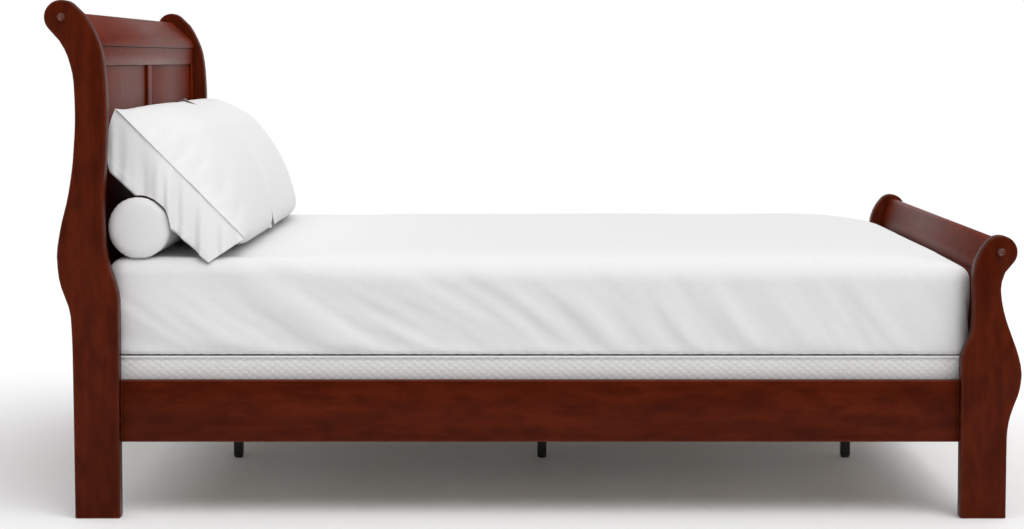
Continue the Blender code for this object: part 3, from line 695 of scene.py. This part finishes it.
def wrinkle(x, height):
    """How far the side of the sheet stands out, from slanting folds that fade to the corners."""
    slant = 0.60 + 0.8 * soft_step(x, -0.4, 0.6)
    across = (x * slant + (height - 0.5)) / math.hypot(slant, 1)
    along = (x - (height - 0.5) * slant) / math.hypot(slant, 1)
    warp = 0.6 * noise_at(x * 3.1, height * 4, 7.7)
    folds = noise_at(across * 19 + warp, along * 3.4, 1.7)
    folds += 0.5 * noise_at(across * 40 + warp, along * 6, 5.2)
    broad = noise_at(x * 2.3, height * 3, 9.1)
    strength = 0.45 + 0.55 * soft_step(x, -0.95, -0.6) * (1 - soft_step(x, -0.25, 0.2))
    strength *= 0.45 + 0.55 * (1 - soft_step(height, 0.47, 0.58))
    return 0.0135 * strength * folds + 0.0020 * broad


def on_sheet(u, v):
    """A point of the sheet: u goes round it, v from its hem to its middle."""
    row = round(v * (len(sheet_steps) - 1))
    outermost, _ = around(u, *SHEET_SIZE, 0.048)
    height, inset = sheet_step(row, SHEET_MIDDLE.x + outermost.x)
    point, out = around(u, *SHEET_SIZE, 0.048, inset)
    spot = SHEET_MIDDLE + point
    lower = soft_step(height, low.z, low.z + 0.03)
    flat_part = 1 - soft_step(inset, 0.0, 0.08)
    run = spot.x if abs(out.y) > 0.5 else spot.y + 3.0
    side = wrinkle(run, height) * lower * flat_part - 0.0020 * flat_part
    side = min(max(side, -0.0060), 0.0050)
    gather = 0.0012 * (1 - lower) * math.sin(u * 2 * math.pi * 210)
    open_bed = soft_step(spot.x, -0.66, -0.35) * (1 - soft_step(spot.x, 0.75, 1.02))
    crown = 0.016 * open_bed * (1 - (abs(spot.y) / 0.77) ** 5)
    foot_fall = 0.016 * soft_step(spot.x, 0.84, 1.03) * soft_step(abs(spot.y), 0.40, 0.75)
    ripple = 0.0016 * noise_at(spot.x * 4, spot.y * 4, 3.3) - 0.0008
    rise = (crown + ripple * open_bed) * soft_step(inset, 0.0, 0.16) - foot_fall * (1 - flat_part)
    return spot + out * (side + gather) + Vector((0, 0, height + rise + max(gather, 0)))


fitted_sheet = rolled("sheet_cloth", 760, len(sheet_steps) - 1, on_sheet, [COTTON])
dress(fitted_sheet, ["fitted_sheet"])
print("fitted sheet", len(fitted_sheet.data.polygons), "faces")

# %% [markdown]
# ## The bolster
# It is a stuffed tube with a round end sewn in at each side. The seam stands out a little, the
# cloth puckers along it, and the bolster is pressed flat where it lies on the sheet.

# %% The bolster
low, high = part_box("bolster")
BOLSTER = Vector(((low.x + high.x) / 2 - 0.003, 0, (low.z + high.z) / 2))
BOLSTER_RADIUS = 0.072
BOLSTER_HALF = high.y
bolster_rows = [(0.0, -0.0010), (0.25, -0.0006), (0.5, 0.0), (0.7, 0.0004), (0.84, 0.0022),
                (0.92, 0.0052), (0.965, 0.0085), (0.985, 0.0112), (1.004, 0.0138), (0.996, 0.0165),
                (0.990, 0.020), (0.996, 0.026), (1.0, 0.034)]
bolster_profile = [(share, BOLSTER_HALF - depth) for share, depth in bolster_rows]
bolster_profile += [(1.0, BOLSTER_HALF - 0.034 - 0.031 * i) for i in range(1, 24)]
bolster_profile += [(1.0, 0.0)]
bolster_profile += [(share, -depth) for share, depth in reversed(bolster_profile[:-1])]


def on_bolster(u, v):
    """A point of the bolster's cover."""
    share, depth = bolster_profile[round(v * (len(bolster_profile) - 1))]
    turn = u * 2 * math.pi
    side = 1 if depth > 0 else -1
    near_seam = math.exp(-((abs(depth) - BOLSTER_HALF + 0.0138) / 0.014) ** 2)
    pleat = math.sin(turn * 31 + 3 * noise_at(math.cos(turn), math.sin(turn), side * 2.0))
    lumps = noise_at(math.cos(turn) * 1.3, depth * 5, math.sin(turn) * 1.3 + 4)
    radius = BOLSTER_RADIUS * share + 0.0003 * near_seam * pleat + 0.0010 * lumps * share
    spot = BOLSTER + Vector((radius * math.cos(turn), depth, radius * math.sin(turn)))
    spot.z = max(spot.z, SHEET_TOP + 0.0004)
    return spot


bolster = rolled("bolster_cover", 248, len(bolster_profile) - 1, on_bolster, [COTTON])
dress(bolster, ["bolster"])
print("bolster", len(bolster.data.polygons), "faces")

# %% [markdown]
# ## Pillows
# A pillow is two flat pieces of cloth sewn round their edge and filled. The flat bag is blown up
# in a short cloth simulation, which gives it full sides, pinched corners and creases that run in
# from the seams. Then it is leaned back: its seams are laid on the slope that the pillow takes
# over the bolster, its filling sinks toward the bed, and it is pressed flat where it meets the
# bolster, the head panel and the sheet.


# %% A flat bag, blown up
def blown_bag(length, width, frames):
    """The points and faces of a sewn bag, inflated by a cloth simulation."""
    bm = bmesh.new()
    bmesh.ops.create_cube(bm, size=1)
    bmesh.ops.scale(bm, verts=bm.verts, vec=(length, width, 0.012))
    for axis, cuts in ((0, 58), (1, 38)):
        lines = [e for e in bm.edges if abs(e.verts[0].co[axis] - e.verts[1].co[axis]) > 0.1]
        bmesh.ops.subdivide_edges(bm, edges=lines, cuts=cuts, use_grid_fill=True)
    bag = to_object("bag", bm, [])
    cloth_modifier = bag.modifiers.new("cloth", "CLOTH")
    settings = cloth_modifier.settings
    settings.quality = 6
    settings.mass = 0.3
    settings.tension_stiffness = 15
    settings.compression_stiffness = 15
    settings.shear_stiffness = 8
    settings.bending_stiffness = 0.5
    settings.air_damping = 2
    settings.use_pressure = True
    settings.uniform_pressure_force = 6
    settings.effector_weights.gravity = 0
    cloth_modifier.collision_settings.use_collision = False
    cloth_modifier.point_cache.frame_start = 1
    cloth_modifier.point_cache.frame_end = frames
    for moment in range(1, frames + 1):
        scene.frame_set(moment)
    depsgraph = bpy.context.evaluated_depsgraph_get()
    blown = bpy.data.meshes.new_from_object(bag.evaluated_get(depsgraph))
    bag.modifiers.clear()
    bag.data = blown
    return bag


bag = blown_bag(0.76, 0.50, 10)
bag_points = [v.co.copy() for v in bag.data.vertices]
BAG_HALF = Vector([max(abs(p[k]) for p in bag_points) for k in range(3)])
print("bag", [round(2 * v, 3) for v in BAG_HALF])

# %% [markdown]
# ### Leaning the pillow
# Seen from the side of the bed, the leaning pillow has two kinds of outline. At its two ends the
# seams are straight and slope down from the head panel to the sheet. In the middle it is full: the
# front is a round belly, and the back follows the head panel and sinks over the bolster. A point
# of the bag keeps its place along the pillow and between the seams, and goes from the straight
# seams toward the full outline as it nears the middle. The creases are what the blown bag has and
# a smoothed copy of it hasn't. Two pillows never lie alike, so the far one is tucked in more.

# %% Outlines of the leaning pillow, as (x, z) points from the top seam to the lower one
OUTER_SEAM = {"left": [(-0.9864, 0.9560), (-0.6828, 0.6500)],
              "right": [(-0.9860, 0.9500), (-0.7300, 0.6400)]}
INNER_SEAM = {"left": [(-0.940, 0.959), (-0.872, 0.940), (-0.8154, 0.908), (-0.762, 0.830),
                       (-0.722, 0.730), (-0.703, 0.620)],
              "right": [(-0.940, 0.966), (-0.872, 0.934), (-0.820, 0.898), (-0.765, 0.815),
                        (-0.720, 0.720), (-0.695, 0.620)]}
BELLY = [(-0.982, 0.948), (-0.955, 0.9565), (-0.915, 0.9545), (-0.8720, 0.9410), (-0.8154, 0.9117),
         (-0.7800, 0.8740), (-0.7465, 0.8281), (-0.7151, 0.7653), (-0.6947, 0.6985),
         (-0.6890, 0.6540), (-0.6960, 0.6320), (-0.715, 0.6180)]
BACK = [(-0.982, 0.948), (-1.008, 0.930), (-1.020, 0.885), (-1.006, 0.822), (-0.972, 0.775),
        (-0.926, 0.752), (-0.876, 0.733), (-0.842, 0.690), (-0.812, 0.635), (-0.770, 0.609),
        (-0.715, 0.6180)]


def spread_out(points, count=200):
    """The points of a smooth line through some others, evenly spaced."""
    fine = []
    for i in range(len(points) - 1):
        four = [Vector(points[min(max(i + k, 0), len(points) - 1)]) for k in (-1, 0, 1, 2)]
        for k in range(12):
            t = k / 12
            fine.append(0.5 * (2 * four[1] + (four[2] - four[0]) * t
                               + (2 * four[0] - 5 * four[1] + 4 * four[2] - four[3]) * t * t
                               + (3 * four[1] - four[0] - 3 * four[2] + four[3]) * t ** 3))
    fine.append(Vector(points[-1]))
    run = [0.0]
    for first, second in zip(fine, fine[1:]):
        run.append(run[-1] + (second - first).length)
    even = []
    i = 0
    for k in range(count + 1):
        want = run[-1] * k / count
        while i < len(run) - 2 and run[i + 1] < want:
            i += 1
        even.append(fine[i].lerp(fine[i + 1], min((want - run[i]) / (run[i + 1] - run[i]), 1.0)))
    return even


def along_line(line, share):
    """The point a share of the way along an even line."""
    k = min(max(share, 0.0), 1.0) * (len(line) - 1)
    i = min(int(k), len(line) - 2)
    return line[i].lerp(line[i + 1], k - i)


BELLY_LINE, BACK_LINE = spread_out(BELLY), spread_out(BACK)
OUTER_LINE = {name: spread_out(points) for name, points in OUTER_SEAM.items()}
INNER_LINE = {name: spread_out(points) for name, points in INNER_SEAM.items()}
HEAD_FACE_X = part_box("head_centre_stile")[1].x
PILLOW_IN, PILLOW_OUT = 0.009, 0.722
CREASE_LIMIT = 0.008

# %% The bag's width and length, and its creases
STEPS = 24
edge_width = [0.0] * (STEPS + 1)
edge_length = [0.0] * (STEPS + 1)
for p in bag_points:
    k = round((p.x / BAG_HALF.x * 0.5 + 0.5) * STEPS)
    edge_width[k] = max(edge_width[k], abs(p.y))
    k = round((p.y / BAG_HALF.y * 0.5 + 0.5) * STEPS)
    edge_length[k] = max(edge_length[k], abs(p.x))
print("bag width", round(2 * min(edge_width), 3), "to", round(2 * max(edge_width), 3))

bm = bmesh.new()
bm.from_mesh(bag.data)
for _ in range(14):
    bmesh.ops.smooth_vert(bm, verts=bm.verts, factor=0.5, use_axis_z=True)
creases = [abs(p.z) - abs(v.co.z) for p, v in zip(bag_points, bm.verts)]
bm.free()
print("creases", round(1000 * min(creases), 1), "to", round(1000 * max(creases), 1), "mm")


def between(values, share):
    """The value a share of the way through a list."""
    k = min(max(share, 0.0), 1.0) * (len(values) - 1)
    i = min(int(k), len(values) - 2)
    return values[i] + (values[i + 1] - values[i]) * (k - i)


def pressed(spot):
    """Push a point out of the bolster, the head panel and the sheet."""
    from_axis = Vector((spot.x - BOLSTER.x, 0, spot.z - BOLSTER.z))
    least = BOLSTER_RADIUS + 0.003
    if from_axis.length < least and abs(spot.y) < BOLSTER_HALF + 0.002:
        moved = BOLSTER + (from_axis.normalized() + Vector((0.3, 0, 0.3))).normalized() * least
        spot = Vector((moved.x, spot.y, moved.z))
    spot.x = max(spot.x, HEAD_FACE_X + 0.003)
    spot.z = max(spot.z, SHEET_TOP + 0.0012)
    return spot


def leaned(p, crease, name):
    """Where a point of the bag goes in the pillow on one side of the bed."""
    a = p.x / between(edge_length, p.y / BAG_HALF.y * 0.5 + 0.5)
    a = min(max(1.03 * a, -1.0), 1.0)
    share = p.y / between(edge_width, p.x / BAG_HALF.x * 0.5 + 0.5) * 0.5 + 0.5
    seam = along_line(INNER_LINE[name], share).lerp(along_line(OUTER_LINE[name], share),
                                                    soft_step(a, -1.0, 1.0))
    full = 1 - a ** 2.4 if a > 0 else (1 - (-a) ** 4) ** 0.8
    line = BELLY_LINE if p.z > 0 else BACK_LINE
    target = along_line(line, share)
    spot = seam.lerp(target, full)
    out = Vector((0.707, 0.707)) if p.z > 0 else Vector((-0.707, -0.707))
    spot += out * max(min(crease, CREASE_LIMIT), -CREASE_LIMIT) * min(1.2 * full, 1.0)
    pull = noise_at(share * 15 - a * 3, a * 2.2, 8.0)
    pull += 0.5 * noise_at(share * 31 - a * 5, a * 3, 2.0)
    spot += out * 0.0065 * pull * soft_step(a, 0.25, 0.75) * (1 - soft_step(a, 0.90, 1.0))
    y = PILLOW_IN + (PILLOW_OUT - PILLOW_IN) * (a + 1) / 2
    return pressed(Vector((spot.x, SIDES[name] * y, spot.y)))


def make_pillow(name):
    """The leaning pillow of one side, from the blown bag."""
    mesh = bag.data.copy()
    pillow = bpy.data.objects.new(f"pillow_{name}_case", mesh)
    scene.collection.objects.link(pillow)
    # the bag's x runs outward on both sides, so each pillow's outer end is made the same
    for v, p, crease in zip(mesh.vertices, bag_points, creases):
        v.co = leaned(p, crease, name)
    bm = bmesh.new()
    bm.from_mesh(mesh)
    bmesh.ops.smooth_vert(bm, verts=bm.verts, factor=0.3, use_axis_x=True, use_axis_y=False,
                          use_axis_z=True)
    bmesh.ops.subdivide_edges(bm, edges=bm.edges, cuts=1, use_grid_fill=True, smooth=0.6)
    for v in bm.verts:
        v.co = pressed(v.co)
    bmesh.ops.recalc_face_normals(bm, faces=bm.faces)
    bm.to_mesh(mesh)
    bm.free()
    mesh.materials.clear()
    mesh.materials.append(COTTON)
    mesh.shade_smooth()
    dress(pillow, [f"pillow_{name}"])
    return pillow


pillows = {name: make_pillow(name) for name in SIDES}
bpy.data.objects.remove(bag)
print("pillows", [len(p.data.polygons) for p in pillows.values()], "faces")

# %% [markdown]
# ### The open ends of the pillowcases
# Each pillowcase is longer than its pillow. The empty end hangs down past the seam as a flat tube
# of two layers, lies against the end of the bolster, and ends in a stitched hem.

# %% The open ends
HEM = {"left": [Vector((-1.001, 0.742, 0.812)), Vector((-0.7644, 0.750, 0.5955))],
       "right": [Vector((-1.001, 0.742, 0.812)), Vector((-0.806, 0.748, 0.6020))]}
# how far from the middle of the bed the flaps begin, and the farthest they stand out
FLAP_START, FLAP_LIMIT = 0.716, 0.7655


def flap_point(name, share, fall, layer):
    """A point of the flap: share down the seam, fall from the seam to the hem, layer 0 or 1."""
    seam = along_line(OUTER_LINE[name], share)
    hem = HEM[name][0].lerp(HEM[name][1], share)
    reach = fall * (1.045 if layer else 1.0)
    spot = Vector((seam.x, 0, seam.y)).lerp(Vector((hem.x, 0, hem.z)), reach)
    out = FLAP_START + (hem.y - FLAP_START) * math.sin(min(fall, 1.0) * math.pi / 2) ** 0.8
    bow = 4 * fall * (1 - fall)
    spot.x -= 0.012 * bow * (1 - share) ** 2
    fold = noise_at(spot.x * 26, spot.z * 3, 6.0) + 0.5 * noise_at(spot.x * 55, 2.5, 4.0)
    out += 0.030 * fold * math.sin(min(fall * 1.3, 1.0) * math.pi / 2)
    out += -0.0085 * fall ** 0.5 - 0.0006 if layer else 0.0009 * soft_step(fall, 0.80, 0.81)
    from_axis = Vector((spot.x - BOLSTER.x, 0, spot.z - BOLSTER.z))
    least = BOLSTER_RADIUS + 0.005 - 0.002 * layer
    if from_axis.length < least:
        moved = BOLSTER + from_axis.normalized() * least
        spot = Vector((moved.x, 0, moved.z))
    return Vector((spot.x, SIDES[name] * min(out, FLAP_LIMIT), spot.z))


def make_open_end(name):
    """The grid goes down the outer layer and back up the inner one; v is the fall."""
    def placed(u, v):
        return flap_point(name, 2 * u, v, 0) if u <= 0.5 else flap_point(name, 2 - 2 * u, v, 1)

    flap = rolled(f"pillow_{name}_open_end", 120, 30, placed, [COTTON], 80)
    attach(flap, f"pillow_{name}")
    print(flap.name, len(flap.data.polygons), "faces")


for name in SIDES:
    make_open_end(name)
